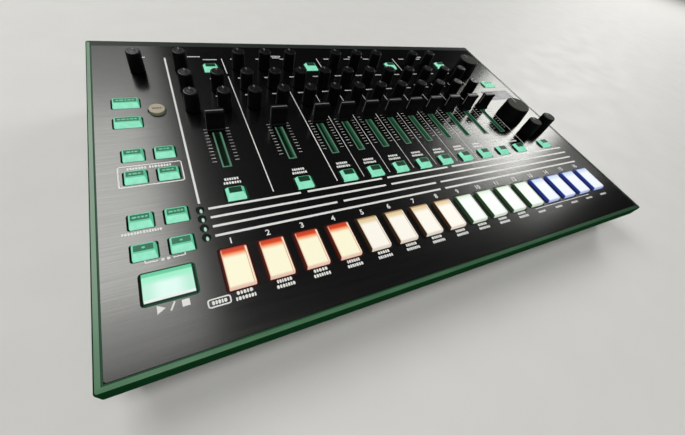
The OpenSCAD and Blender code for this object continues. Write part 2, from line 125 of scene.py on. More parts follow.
fader_xs = [BASS_X, SNARE_X] + [NARROW_X + i * CHANNEL_PITCH for i in range(NARROW_CHANNELS)]
pad_xs = [PAD_X + i * PAD_PITCH for i in range(BANKS * PADS_PER_BANK)]
send_xs = [BASS_X + CHANNEL_PITCH / 2] + [NARROW_X + i * CHANNEL_PITCH for i in (1, 5, 8)]


# ---- materials ----
# Where most of the noise's values lie, and a narrower range for lit plastic
NOISE_RANGE = {"From Min": 0.3, "From Max": 0.7}
PATCH_RANGE = {"From Min": 0.35, "From Max": 0.65}
EVEN = (1, 1, 1)
# Brushing: the grain in millimetres, and how far it is drawn out along x
HAIRLINES = (0.3, (0.01, 1, 1))
BRUSH_BANDS = (2.4, (0.03, 1, 1))
BAND_SHARE = 0.16
DIM_GLOW = 0.88
DIM_BODY = 0.85
SILICONE_GRAIN = 0.4
SILICONE_ROUGH = (0.3, 0.5)
CAP_MAP = "cap"


def colour(code, share=1):
    """An sRGB hex colour as the linear colour that a shader takes, dimmed to a share of itself."""
    parts = [int(code[i:i + 2], 16) / 255 for i in (1, 3, 5)]
    linear = [c / 12.92 if c <= 0.04045 else ((c + 0.055) / 1.055) ** 2.4 for c in parts]
    return [c * share for c in linear] + [1]


def add(tree, kind, inputs=(), **settings):
    """Adds a node. inputs gives its sockets a value, or a link where the value is a socket."""
    new = tree.nodes.new(kind)
    for name, value in settings.items():
        setattr(new, name, value)
    for socket, value in dict(inputs).items():
        if isinstance(value, bpy.types.NodeSocket):
            tree.links.new(value, new.inputs[socket])
        else:
            new.inputs[socket].default_value = value
    return new


def feed(tree, shader, sockets):
    """Links sockets to the shader's inputs of those names."""
    for name, socket in sockets.items():
        tree.links.new(socket, shader.inputs[name])


def material(name, surface):
    """A new material with one Principled surface; returns it, its node tree and that surface."""
    made = bpy.data.materials.new(name)
    made.use_nodes = True
    made.node_tree.nodes.clear()
    shader = add(made.node_tree, "ShaderNodeBsdfPrincipled", surface)
    add(made.node_tree, "ShaderNodeOutputMaterial", {"Surface": shader.outputs["BSDF"]})
    return made, made.node_tree, shader


def grain_of(tree, grain, stretch, detail):
    """Noise on object coordinates with grains of that many millimetres."""
    place = add(tree, "ShaderNodeTexCoord")
    scaled = add(tree, "ShaderNodeMapping", {"Vector": place.outputs["Object"], "Scale": stretch})
    noise = add(tree, "ShaderNodeTexNoise",
                {"Vector": scaled.outputs["Vector"], "Scale": 1 / (grain * MM), "Detail": detail})
    return noise.outputs["Fac"]


def speckled(tree, shader, share, light, dark, grain, depth, rough):
    """Two tones mixed by a share, and a roughness and a relief that follow one grain."""
    mixed = add(tree, "ShaderNodeMix", {0: share, 6: colour(light), 7: colour(dark)},
                data_type="RGBA")
    gloss = add(tree, "ShaderNodeMapRange",
                {"Value": grain, **NOISE_RANGE, "To Min": rough[0], "To Max": rough[1]})
    relief = add(tree, "ShaderNodeBump", {"Height": grain, "Strength": 1, "Distance": depth * MM})
    feed(tree, shader, {"Base Color": mixed.outputs[2], "Roughness": gloss.outputs["Result"],
                        "Normal": relief.outputs["Normal"]})


def textured(name, light, dark, grain, depth, rough, shine=0.5, metal=0.0, tint="#ffffff"):
    """A surface whose colour, roughness and relief follow one grain on object coordinates.

    grain and depth are in millimetres, rough is the lowest and the highest roughness."""
    made, tree, shader = material(name, {"Specular IOR Level": shine, "Metallic": metal,
                                         "Specular Tint": colour(tint)})
    noise = grain_of(tree, grain, EVEN, 4)
    speckled(tree, shader, noise, light, dark, noise, depth, rough)
    return made


def brushed(name, light, dark, depth, rough):
    """Metal brushed along x: hairlines that blur a reflection along y, in broader, fainter bands."""
    made, tree, shader = material(name, {"Metallic": 1.0, "Specular Tint": colour("#a0a0a0")})
    hairs = grain_of(tree, *HAIRLINES, 3)
    bands = grain_of(tree, *BRUSH_BANDS, 3)
    both = add(tree, "ShaderNodeMix", {0: BAND_SHARE, 2: hairs, 3: bands})
    even = add(tree, "ShaderNodeMapRange", {"Value": both.outputs[0], **NOISE_RANGE})
    speckled(tree, shader, even.outputs["Result"], light, dark, hairs, depth, rough)
    return made


def glowing(name, body, glow, grain, strength, rough, fade=1, shine=0.5):
    """Tinted plastic with a glow: lamplight from behind where there is a lamp, and painted light on parts without
    one. The glow is uneven over patches of grain millimetres.

    fade is the share of the glow that is left at the machine's right end; it dims along x towards it."""
    made, tree, shader = material(name, {"Emission Strength": strength,
                                         "Specular IOR Level": shine})
    patch = grain_of(tree, grain, EVEN, 2)
    cast = add(tree, "ShaderNodeMapRange", {"Value": patch, **PATCH_RANGE})
    lit = add(tree, "ShaderNodeMix",
              {0: cast.outputs["Result"], 6: colour(glow, DIM_GLOW), 7: colour(glow)},
              data_type="RGBA")
    base = add(tree, "ShaderNodeMix",
               {0: cast.outputs["Result"], 6: colour(body, DIM_BODY), 7: colour(body)},
               data_type="RGBA")
    gloss = add(tree, "ShaderNodeMapRange",
                {"Value": patch, "To Min": rough[0], "To Max": rough[1]})
    if fade < 1:
        place = add(tree, "ShaderNodeTexCoord")
        along = add(tree, "ShaderNodeSeparateXYZ", {"Vector": place.outputs["Object"]})
        reach = add(tree, "ShaderNodeMapRange",
                    {"Value": along.outputs["X"], "From Min": -BODY_W / 2 * MM,
                     "From Max": BODY_W / 2 * MM, "To Min": strength, "To Max": strength * fade})
        feed(tree, shader, {"Emission Strength": reach.outputs["Result"]})
    feed(tree, shader, {"Base Color": base.outputs[2], "Emission Color": lit.outputs[2],
                        "Roughness": gloss.outputs["Result"]})
    return made


def lit_silicone(name, centre, tints, strength):
    """Milky silicone over coloured lamps: pale in the middle, and its own colour at its edges.

    It follows the cap's own map, where u runs across the cap and v from front to rear. Each tint is
    the map axis, where it starts, where it is full, and its colour. Right is u, and across counts
    from the middle."""
    made, tree, shader = material(name, {"Emission Strength": strength, "Specular IOR Level": 0.4})
    cap_map = add(tree, "ShaderNodeUVMap", uv_map=CAP_MAP)
    over = add(tree, "ShaderNodeSeparateXYZ", {"Vector": cap_map.outputs["UV"]})
    from_middle = add(tree, "ShaderNodeMath", {0: over.outputs["X"], 1: 0.5}, operation="SUBTRACT")
    sideways = add(tree, "ShaderNodeMath", {0: from_middle.outputs[0]}, operation="ABSOLUTE")
    places = {"across": sideways.outputs[0], "right": over.outputs["X"], "along": over.outputs["Y"]}
    shade = colour(centre)
    for axis, start, full, tint in tints:
        share = add(tree, "ShaderNodeMapRange",
                    {"Value": places[axis], "From Min": start, "From Max": full},
                    interpolation_type="SMOOTHSTEP")
        mixed = add(tree, "ShaderNodeMix", {0: share.outputs["Result"], 6: shade, 7: colour(tint)},
                    data_type="RGBA")
        shade = mixed.outputs[2]
    body = add(tree, "ShaderNodeMix", {0: 1, 6: shade, 7: colour("#707070")},
               data_type="RGBA", blend_type="MULTIPLY")
    gloss = add(tree, "ShaderNodeMapRange",
                {"Value": grain_of(tree, SILICONE_GRAIN, EVEN, 3),
                 "To Min": SILICONE_ROUGH[0], "To Max": SILICONE_ROUGH[1]})
    feed(tree, shader, {"Emission Color": shade, "Base Color": body.outputs[2],
                        "Roughness": gloss.outputs["Result"]})
    return made


# Anodised aluminium, brushed side to side: long fine streaks that stretch every reflection
brushed_face = brushed("brushed black anodised aluminium", "#666664", "#5d5d5b", 0.007, (0.17, 0.23))
# Moulded ABS with a spark-eroded grain: a soft, slightly sparkling black
tray_abs = textured("spark-eroded black ABS", "#1d1e20", "#121314", 0.5, 0.03, (0.5, 0.66))
# Satin ABS of the knobs and fader caps: a deep black that hardly shines
knob_abs = textured("satin black ABS", "#060606", "#030303", 0.3, 0.006, (0.4, 0.5), shine=0.1)
# Spun metal tops of the small knobs: nearly black, with a soft shine where a lamp is above
knob_top = textured("spun black cap", "#626261", "#4a4a49", 0.5, 0.012, (0.24, 0.34),
                    metal=1.0, tint="#bcbcbc")
# Tops of the wider knobs: a warm charcoal, matt enough to keep its tone under a lamp
wide_top = textured("spun black cap, wide", "#3a3c34", "#2e302a", 0.5, 0.012, (0.6, 0.7), shine=0.04)
# Grey paint of the pointers and of the lines on the fader caps
pointer_paint = textured("grey marking paint", "#8c8c88", "#7a7a76", 0.4, 0.003, (0.45, 0.55))
# Pad-printed epoxy ink: flat off-white with a trace of mottling
white_ink = textured("white epoxy ink", "#ecece8", "#d6d6d1", 0.6, 0.004, (0.5, 0.6))
# Green acrylic edge: a deep green, with a faint painted glow for light passing through it
rim_acrylic_painted_glow = glowing("green acrylic edge, painted glow", "#0d2a16", "#0e3a1c", 9, 0.3, (0.3, 0.4), shine=0.0)
# Painted highlight on the top of the same edge: a paler line, strongest at the left and fading to the right
rim_painted_highlight = glowing("acrylic edge, painted highlight", "#162c1c", "#588862", 25, 0.62, (0.16, 0.28), 0.2)
# The same edge in the groove round the plate, darker with painted shade
rim_groove_painted_shade = glowing("acrylic edge, painted shade in groove", "#10241a", "#345c40", 25, 0.5, (0.3, 0.4), 0.15,
                     shine=0.1)
# Rear and right side of the edge's top, and its lip behind the plate: a greyer, dimmer copy with painted shade
rim_painted_shade = glowing("acrylic edge and lip, painted shade", "#161b18", "#343c36", 25, 0.6, (0.3, 0.4), 0.1, shine=0.1)
# Translucent silicone buttons: mint, lit evenly from below
button_mint = glowing("mint silicone", "#3c8e6c", "#70dcae", 4, 0.47, (0.35, 0.45), shine=0.4)
# Painted highlight on the front and left slopes of the same buttons: a brighter copy of the mint
mint_painted_highlight = glowing("mint silicone, painted highlight", "#56a284", "#9cf6d2", 4, 0.54, (0.35, 0.45),
                     shine=0.4)
# Film window in a button: the lamp shows through it as a dark green
window_film = glowing("green window film", "#06180f", "#145234", 3, 0.36, (0.45, 0.6), shine=0.15)
# Thinner film of the buttons at the left: more of the lamp comes through
pale_film = glowing("pale window film", "#1c3c2e", "#4a9070", 3, 0.5, (0.45, 0.6), shine=0.15)
# Light pipes beside the fader slots: a bright top, and walls with painted shade that darkens downwards
pipe_green = glowing("light pipe acrylic", "#3a5848", "#82b098", 12, 0.4, (0.25, 0.35), 0.4,
                     shine=0.12)
pipe_wall = glowing("light pipe wall", "#123020", "#3c8a5c", 12, 0.46, (0.3, 0.4), 0.35)
pipe_shade = glowing("light pipe wall in shade", "#0c2416", "#30744c", 12, 0.38, (0.4, 0.5), 0.35)
# Green plastic below the plate, where hardly any light reaches it; on the buttons it is also painted shade on
# their left upright sides
shaded_green = glowing("green plastic in shade", "#04100a", "#0a2f1a", 8, 0.15, (0.5, 0.6), shine=0.1)
# Lamp lens of milky polycarbonate: a pale green that glows softly all over
lamp_lens = glowing("milky polycarbonate lens", "#7c9488", "#b4d4c4", 1.5, 0.6, (0.2, 0.3))
# Unlit urea button: a warm ivory with a dull shine
ivory_urea = textured("ivory urea", "#aea48e", "#9c917a", 1.2, 0.01, (0.35, 0.45))
# Brown ink on the same button: flat and slightly mottled
brown_ink = textured("brown epoxy ink", "#5c4c38", "#4c3e2c", 0.6, 0.004, (0.5, 0.6))
# Smoked acrylic display window: nearly black, with a satin anti-glare face
smoked_acrylic = textured("smoked acrylic", "#0a0a0b", "#060607", 6, 0.002, (0.24, 0.3), shine=0.06)
# Solder mask over glass fibre, with the weave just showing
solder_mask = textured("green solder mask", "#135a33", "#0c4425", 0.8, 0.01, (0.3, 0.4))
# Zinc-plated steel of the potentiometers and levers: a cool grey with a soft shine
zinc_steel = textured("zinc-plated steel", "#a9abad", "#8b8d8f", 0.8, 0.008, (0.28, 0.42), metal=1.0)
# Glass-filled nylon of the sockets: dull, with tiny flecks
socket_nylon = textured("glass-filled nylon", "#1a1b1d", "#101113", 0.25, 0.01, (0.48, 0.62))
# Nickel plate of the ring nuts and socket shells: a warm, bright shine
nickel_plate = textured("nickel plate", "#c9c6bf", "#aeaba4", 0.9, 0.004, (0.16, 0.28), metal=1.0)
# Rubber feet: a matt black that never shines
foot_rubber = textured("nitrile rubber", "#161616", "#0c0c0c", 0.4, 0.02, (0.75, 0.9))
# Blackened steel screws, a little worn on the head
black_steel = textured("blackened steel", "#4a4a4c", "#2c2c2e", 0.5, 0.01, (0.3, 0.45), metal=0.9)

# Where each tint of a pad starts and is full, along one axis of the pad's map
CHAMBER_LINE = ("right", 0.875, 0.892)
CHAMBER_END = ("right", 0.9, 0.925)
LONG_EDGE = ("across", 0.42, 0.48)
FRONT_FADE = ("along", 0.07, -0.01)
# Painted shade on the pad's side, rear and front walls
SIDE_WALL = ("across", 0.468, 0.486)
REAR_WALL = ("along", 1, 1.02)
FRONT_WALL = ("along", 0, -0.02)
PAD_GLOW = 0.8
START_GLOW = 0.78


def pad_finish(name, centre, rear, line, edge, front, side):
    """A step pad over its lamps: coloured at the rear, where they sit, with painted shade on its walls.

    rear is a list of tints along the pad; line is the edge of the lit chamber near its right side;
    edge and front are what the light fades to at the pad's long sides and at its front; side is the painted shade
    on its walls."""
    tints = [("along", *one) for one in rear[:-1]]
    tints += [(*CHAMBER_LINE, line), (*CHAMBER_END, centre), (*LONG_EDGE, edge),
              (*FRONT_FADE, front), ("along", *rear[-1]),
              (*SIDE_WALL, side), (*REAR_WALL, side), (*FRONT_WALL, side)]
    return lit_silicone(name, centre, tints, PAD_GLOW)


def shade_ring_finish(name, glow):
    """A black ring of painted shade round an opening, with a little painted glow of the lamp's colour on it."""
    return glowing(name, "#050505", glow, 3, 0.4, (0.5, 0.6), shine=0.1)


pad_finishes = {
    "pads_1_to_4": pad_finish(
        "pad silicone, red lamps", "#fffbda",
        ((0.7, 0.83, "#fc9c68"), (0.8, 0.88, "#d64016"), (0.92, 0.97, "#a43420")),
        "#e09c80", "#eec0a2", "#f2c8b4", "#541a10"),
    "pads_5_to_8": pad_finish(
        "pad silicone, amber lamps", "#fffaee", ((0.72, 0.88, "#e8d0a0"), (0.9, 0.96, "#a88458")),
        "#c8a47c", "#e6d6c0", "#e6d8c8", "#33200f"),
    "pads_9_to_12": pad_finish(
        "pad silicone, green lamps", "#f8fff8", ((0.76, 0.9, "#e2f2de"), (0.91, 0.97, "#b0c0a8")),
        "#b0c4a8", "#dcead8", "#d0dacc", "#223c22"),
    "pads_13_to_16": pad_finish(
        "pad silicone, blue lamps", "#f2f8ff", ((0.72, 0.9, "#c8daf4"), (0.91, 0.97, "#7c90bc")),
        "#a4b4dc", "#c8d6ee", "#a8b6dc", "#182e84"),
}
# Start button: brightest in the middle over its lamp, mint round it and pale at its front edge, with painted shade
# on its front, side and rear walls
start_finish = lit_silicone("start button silicone", "#e2fff4", (
    ("across", 0.1, 0.42, "#bef2da"), ("along", 0.5, 0.74, "#a0f2cc"),
    ("along", 0.8, 0.86, "#62cc9c"), ("along", 0.1, 0.075, "#f4fff9"),
    ("along", 0.03, 0.015, "#12301f"), ("across", 0.466, 0.478, "#0e2a1a"),
    ("along", 0.965, 0.98, "#1f4c36")), START_GLOW)
# Painted shade round the openings: black rings, with a dull painted glow of the nearest lamp's colour
shade_ring_finishes = [shade_ring_finish("painted shade ring, mint lamp glow", "#2a7858"), shade_ring_finish("painted shade ring, red lamp glow", "#480c06"),
           shade_ring_finish("painted shade ring, amber lamp glow", "#2c1a08"), shade_ring_finish("painted shade ring, green lamp glow", "#1c3c1c"),
           shade_ring_finish("painted shade ring, blue lamp glow", "#1a2c7c"), shade_ring_finish("painted shade ring, darkest", "#04140c")]


# ---- making pieces ----
SHARP = math.radians(34)
TINY = 1e-4
LEVEL = 0.99
CORNER_STEPS = 4
EDGE_STEPS = 3
PILL_ROUND = 0.42
CORNERS = ((1, 1), (-1, 1), (-1, -1), (1, -1))


def place_at(x, y):
    """The place of a piece that was drawn round the face's point x, y."""
    return FACE @ Matrix.Translation((x, y, 0))


def finish_piece(name, mesh, body, finishes, replaced=(), place=FACE):
    """Turns a bmesh into a piece at the origin, its place in its mesh, and lets it ride."""
    mesh.transform(place)
    for face in mesh.faces:
        face.smooth = True
    for edge in mesh.edges:
        edge.smooth = edge.calc_face_angle(0) < SHARP
    data = bpy.data.meshes.new(name)
    mesh.to_mesh(data)
    mesh.free()
    for one in finishes:
        data.materials.append(one)
    made = bpy.data.objects.new(name, data)
    bpy.context.scene.collection.objects.link(made)
    weighted = made.modifiers.new("weighted normals", "WEIGHTED_NORMAL")
    weighted.keep_sharp = True
    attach(made, body)
    if replaced:
        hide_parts(*replaced)


def block(mesh, low, high, finish=0):
    """Adds a box between two corners."""
    low = Vector(low)
    high = Vector(high)
    place = Matrix.Translation((low + high) / 2) @ Matrix.Diagonal((*(high - low), 1))
    verts = bmesh.ops.create_cube(mesh, size=1, matrix=place)["verts"]
    for face in {f for v in verts for f in v.link_faces}:
        face.material_index = finish


def level_face(mesh, z, up=1):
    """The largest face that lies level at height z and faces up or down."""
    level = [f for f in mesh.faces
             if abs(f.calc_center_median().z - z) < TINY and f.normal.z * up > LEVEL]
    return max(level, key=lambda f: f.calc_area())


def draw_out(mesh, face, way):
    """Extrudes a face along a vector and returns everything that makes."""
    made = bmesh.ops.extrude_face_region(mesh, geom=[face])["geom"]
    verts = [g for g in made if isinstance(g, bmesh.types.BMVert)]
    bmesh.ops.translate(mesh, vec=way, verts=verts)
    return made


def extrude(mesh, face, by):
    """Extrudes a face along z and returns the new face."""
    made = draw_out(mesh, face, (0, 0, by))
    mesh.normal_update()
    return next(g for g in made if isinstance(g, bmesh.types.BMFace))


def bevel(mesh, edges, offset, segments):
    """Rounds edges off in that many segments."""
    bmesh.ops.bevel(mesh, geom=list(edges), offset=offset, offset_type="OFFSET", segments=segments,
                    profile=0.5, affect="EDGES", material=-1, clamp_overlap=True)
    mesh.normal_update()


def upright_edges(mesh, z0, z1):
    """The edges that run straight up between two heights."""
    found = []
    for e in mesh.edges:
        low, high = sorted(v.co.z for v in e.verts)
        upright = (e.verts[0].co.xy - e.verts[1].co.xy).length < TINY
        if upright and abs(low - z0) < TINY and abs(high - z1) < TINY:
            found.append(e)
    return found


def push_button(size, height, slopes, corner, edge):
    """Cap, body, retaining flange and stem of a push button: one closed shell round its middle."""
    width, length = size
    shoulder = height * EDGE_SHARE
    side, front, rear = slopes
    half = Vector((width / 2 + FLANGE_LIP, length / 2 + FLANGE_LIP, 0))
    mesh = bmesh.new()
    block(mesh, (-half.x, -half.y, FLANGE_BOTTOM), (half.x, half.y, FLANGE_Z))
    mesh.normal_update()
    top = level_face(mesh, FLANGE_Z)
    bmesh.ops.inset_region(mesh, faces=[top], thickness=FLANGE_LIP, use_even_offset=True)
    top = extrude(mesh, top, shoulder - FLANGE_Z)
    bevel(mesh, upright_edges(mesh, FLANGE_Z, shoulder), corner, CORNER_STEPS)
    top = extrude(mesh, level_face(mesh, shoulder), height - shoulder)
    for v in top.verts:
        v.co.x *= 1 - 2 * side / width
        v.co.y = v.co.y * (1 - (front + rear) / length) + (front - rear) / 2
    mesh.normal_update()
    round_off = set(level_face(mesh, height).edges)
    round_off |= {e for e in mesh.edges if all(abs(v.co.z - shoulder) < TINY for v in e.verts)}
    bevel(mesh, round_off, edge, EDGE_STEPS)
    bottom = level_face(mesh, FLANGE_BOTTOM, up=-1)
    bmesh.ops.inset_region(mesh, faces=[bottom], thickness=STEM_INSET, use_even_offset=True)
    for v in bottom.verts:
        v.co.x = math.copysign(STEM_W / 2, v.co.x)
        v.co.y = math.copysign(STEM_W / 2, v.co.y)
    extrude(mesh, bottom, STEM_END - FLANGE_BOTTOM)
    return mesh


def merge(mesh, own, place=None):
    """Adds one bmesh to another, at its place, and frees it."""
    if place is not None:
        own.transform(place)
    data = bpy.data.meshes.new("part")
    own.to_mesh(data)
    own.free()
    mesh.from_mesh(data)
    bpy.data.meshes.remove(data)


def pill(mesh, x, y, length, width, thick, z=0, finish=0):
    """Adds a flat bar with round ends, lying on height z."""
    own = bmesh.new()
    block(own, (-length / 2, -width / 2, 0), (length / 2, width / 2, thick))
    bevel(own, upright_edges(own, 0, thick), width * PILL_ROUND, EDGE_STEPS)
    for face in own.faces:
        face.material_index = finish
    merge(mesh, own, Matrix.Translation((x, y, z)))


def lathe(profile, steps=48):
    """A closed solid of revolution from (radius, height) points that start and end on the axis."""
    mesh = bmesh.new()
    verts = [mesh.verts.new((r, 0, z)) for r, z in profile]
    edges = [mesh.edges.new(pair) for pair in zip(verts, verts[1:])]
    bmesh.ops.spin(mesh, geom=verts + edges, cent=(0, 0, 0), axis=(0, 0, 1), dvec=(0, 0, 0),
                   angle=math.tau, steps=steps, use_merge=True)
    bmesh.ops.remove_doubles(mesh, verts=mesh.verts, dist=TINY)
    bmesh.ops.recalc_face_normals(mesh, faces=mesh.faces)
    return mesh


def arc(middle, radius, start, end, steps=5):
    """Points of an arc between two angles in degrees, from the first axis towards the second."""
    angles = [math.radians(start + (end - start) * i / steps) for i in range(steps + 1)]
    return [(middle[0] + radius * math.cos(a), middle[1] + radius * math.sin(a)) for a in angles]


def prism(outline, width, finish=0):
    """An outline in y and z, drawn out along x to that width, round x = 0."""
    mesh = bmesh.new()
    face = mesh.faces.new([mesh.verts.new((-width / 2, y, z)) for y, z in outline])
    draw_out(mesh, face, (width, 0, 0))
    bmesh.ops.recalc_face_normals(mesh, faces=mesh.faces)
    for one in mesh.faces:
        one.material_index = finish
    return mesh


def frame_of(size, corner, profile, steps=5):
    """A closed profile of (inset, height, finish) points, swept round a rounded rectangle."""
    mesh = bmesh.new()
    loops = []
    for inset, z, _ in profile:
        reach = max(corner, inset)
        points = []
        for turn, (sx, sy) in enumerate(CORNERS):
            middle = (sx * (size[0] / 2 - reach), sy * (size[1] / 2 - reach))
            points += arc(middle, max(corner - inset, 0), 90 * turn, 90 * turn + 90, steps)
        loops.append([mesh.verts.new((x, y, z)) for x, y in points])
    for i, (_, _, finish) in enumerate(profile):
        low = loops[i]
        high = loops[(i + 1) % len(loops)]
        for j in range(len(low)):
            face = mesh.faces.new((low[j - 1], low[j], high[j], high[j - 1]))
            face.material_index = finish
    bmesh.ops.remove_doubles(mesh, verts=mesh.verts, dist=TINY)
    bmesh.ops.recalc_face_normals(mesh, faces=mesh.faces)
    return mesh


def flat_frame(size, corner, width, thick, finish=0):
    """A flat frame lying on height 0."""
    section = ((0, 0), (0, thick), (width, thick), (width, 0))
    return frame_of(size, corner, [(*point, finish) for point in section])


# ---- knobs ----
KNOB_H = 14.9
KNOB_GAP = 0.5
KNOB_EDGE = 0.9
KNOB_STEPS = 64
SHAFT_R = 2.98
SHAFT_END = -10.4
SKIRT_EDGE = 0.35
# Inset of the top's flat ring and of the dished face inside it, which rises to a low crown
RING_INSET = 1.9
DISH_INSET = 2.2
DISH = 0.05
CROWN = 0.12
DOME_STEPS = (0.75, 0.5, 0.25, 0)
POINTER_W = 0.6
POINTER_T = 0.3
POINTER_START = 1.6
POINTER_DROP = 4.5
POINTER_PROUD = 0.05
# Radius at the foot and at the top
KNOB_SIZES = {"effect_knob": (10.5, 10), "tempo_knob": (12.2, 11.2),
              "shuffle_knob": (6.2, 6), "fine_tempo_knob": (6.2, 6)}
SMALL_KNOB = (5.2, 4.9)


def knob(name, at, foot, top):
    """Turned body on its shaft, with a painted pointer laid over its rear edge."""
    edge = (top - KNOB_EDGE, KNOB_H - KNOB_EDGE)
    flat = top - DISH_INSET
    shaft = [(0, SHAFT_END), (SHAFT_R, SHAFT_END), (SHAFT_R, KNOB_GAP)]
    skirt = arc((foot - SKIRT_EDGE, KNOB_GAP + SKIRT_EDGE), SKIRT_EDGE, -90, 0, 3)
    dish = [(top - RING_INSET, KNOB_H), (flat, KNOB_H - DISH)]
    dome = [(flat * s, KNOB_H - DISH + CROWN * (1 - s * s)) for s in DOME_STEPS]
    mesh = lathe(shaft + skirt + arc(edge, KNOB_EDGE, 0, 90) + dish + dome, KNOB_STEPS)
    for face in mesh.faces:
        face.material_index = 2 if face.calc_center_median().z > KNOB_H - DISH * 1.5 else 0
    over = [(POINTER_START, KNOB_H + POINTER_PROUD)]
    over += arc(edge, KNOB_EDGE + POINTER_PROUD, 90, 0)
    slant = (foot - top) / (KNOB_H - KNOB_GAP)
    over.append((top + POINTER_PROUD + slant * POINTER_DROP, KNOB_H - KNOB_EDGE - POINTER_DROP))
    under = [(y - POINTER_T, z - POINTER_T) for y, z in over]
    merge(mesh, prism(over + under[::-1], POINTER_W, finish=1))
    top_finish = wide_top if name in KNOB_SIZES else knob_top
    finish_piece(name + "_body", mesh, name, [knob_abs, pointer_paint, top_finish],
                 [name], place_at(at.x, at.y))


for joint in hinges:
    node = joint["child"]
    knob(node, TO_FACE @ Vector(joint["pos_m"]), *KNOB_SIZES.get(node, SMALL_KNOB))


# ---- pads and buttons ----
OPENING_PLAY = 0.4
# A ring of painted shade lies round each opening: its thickness, and its widths round the buttons, pads, start
# button and round button
SHADE_RING_T = 0.03
SHADE_RING_W = 0.35
PAD_SHADE_RING_W = 0.9
START_SHADE_RING_W = 0.7
ROUND_SHADE_RING_W = 0.4
DARKEST_SHADE_RING = len(shade_ring_finishes) - 1
SIDE_PLAY = 0.4
PAD_CORNER = 0.7
PAD_EDGE = 0.3
START_CORNER = 0.9
BUTTON_CORNER = 0.5
BUTTON_EDGE = 0.25
surrounds = bmesh.new()


def mapped(mesh, size):
    """Lays the cap's map over a cap: u across it and v from its front edge to its rear."""
    over = mesh.loops.layers.uv.new(CAP_MAP)
    for face in mesh.faces:
        for loop in face.loops:
            loop[over].uv = (loop.vert.co.x / size[0] + 0.5, loop.vert.co.y / size[1] + 0.5)


def surround(x, y, size, corner, width=SHADE_RING_W, finish=0):
    """Adds the ring of painted shade that lies round one opening; beside mint lamps its left side gets the darkest
    painted shade.
    """
    reach = OPENING_PLAY + width
    outer = (size[0] + 2 * reach, size[1] + 2 * reach)
    own = flat_frame(outer, corner + reach, width, SHADE_RING_T, finish)
    for face in own.faces:
        # Painted shade: beside mint lamps, the ring's left side takes the darkest finish
        if finish == 0 and face.calc_center_median().x < -size[0] / 2:
            face.material_index = DARKEST_SHADE_RING
    merge(surrounds, own, Matrix.Translation((x, y, 0)))


for i, x in enumerate(pad_xs):
    bank_number = i // PADS_PER_BANK
    bank = list(pad_finishes)[bank_number]
    pad = push_button(PAD_SIZE, CAP_H, PAD_SLOPES, PAD_CORNER, PAD_EDGE)
    mapped(pad, PAD_SIZE)
    finish_piece(f"step_pad_{i + 1}", pad, bank, [pad_finishes[bank]], [bank],
                 place_at(x, PAD_Y))
    surround(x, PAD_Y, PAD_SIZE, PAD_CORNER, PAD_SHADE_RING_W, bank_number + 1)

MARK_GAP = 0.4
MARK_H = 1.1
MARK_T = 0.02
FILM_T = 0.04
FILM_CORNER = 0.3
# Faces below this height stay dark, upright faces turned this far left get painted shade, and faces sloping this
# far to the front or left get the painted highlight
HIDDEN_Z = FLANGE_Z * 0.9
UPRIGHT = 0.95
SLOPING = 0.2


def window_button(name, body, at, size, height, slopes, window, marks=()):
    """Mint button with a film window near its rear edge; window is its size and its middle.

    marks are the lengths of the short light bars across the window."""
    (wide, deep), behind = window
    mesh = push_button((size[0] - 2 * SIDE_PLAY, size[1]), height, slopes, BUTTON_CORNER, BUTTON_EDGE)
    for face in mesh.faces:
        # Painted shade on the left upright faces, and a painted highlight on faces sloping to the front or left
        in_shade = face.calc_center_median().z < HIDDEN_Z or face.normal.x < -UPRIGHT
        highlighted = face.normal.y < -SLOPING or face.normal.x < -SLOPING
        face.material_index = 1 if in_shade else 3 if highlighted else 0
    low = height - FILM_T
    high = height + FILM_T
    film = bmesh.new()
    block(film, (-wide / 2, behind - deep / 2, low), (wide / 2, behind + deep / 2, high), 2)
    bevel(film, upright_edges(film, low, high), FILM_CORNER, 2)
    merge(mesh, film)
    at_x = -(sum(marks) + MARK_GAP * (len(marks) - 1)) / 2
    for length in marks:
        pill(mesh, at_x + length / 2, behind, length, MARK_H, MARK_T, high)
        at_x += length + MARK_GAP
    behind_window = pale_film if marks else window_film
    finish_piece(name, mesh, body, [button_mint, shaded_green, behind_window, mint_painted_highlight],
                 [body], place_at(*at))
    surround(*at, size, BUTTON_CORNER)


SMALL_WINDOW = ((9, 3.6), 1.5)
WIDE_WINDOW = ((13.4, 3.6), 1.5)
TALL_WINDOW = ((7.4, 4.2), 1.55)
EFFECT_WINDOW = ((9.6, 3.4), 1.1)
LEFT_MARKS = ((1.6,), (2.2, 1.2, 1.6, 1.2), (1.6, 2.4, 1.4), (2.2, 1.2, 1.8))
WIDE_MARKS = (1.8, 2.6, 1.4, 2.2, 1.6)
EFFECT_MARKS = (2.2, 1.4, 1.8)
TALL_SHAPE = (BUTTON, TALL_CAP_H, TALL_SLOPES, TALL_WINDOW)
for i, x in enumerate(fader_xs):
    window_button(f"select_button_{i + 1}", "select_buttons", (x, SELECT_Y), *TALL_SHAPE)
window_button("tap_button", "select_buttons", (TAP_X, SELECT_Y), *TALL_SHAPE)
for i, x in enumerate(send_xs):
    window_button(f"send_button_{i + 1}", "function_buttons", (x, SEND_Y), *TALL_SHAPE)
for row, (y, marks) in enumerate(zip(LEFT_YS, LEFT_MARKS)):
    for column, x in enumerate(LEFT_XS):
        window_button(f"function_button_{row + 1}_{column + 1}", "function_buttons", (x, y), BUTTON,
                      CAP_H, SMALL_SLOPES, SMALL_WINDOW, marks)
for i, y in enumerate(WIDE_YS):
    window_button(f"wide_button_{i + 1}", "function_buttons", (WIDE_X, y), WIDE_BUTTON, CAP_H,
                  SMALL_SLOPES, WIDE_WINDOW, WIDE_MARKS)
window_button("effect_button", "function_buttons", EFFECT_AT, EFFECT_BUTTON, CAP_H, EFFECT_SLOPES,
              EFFECT_WINDOW, EFFECT_MARKS)

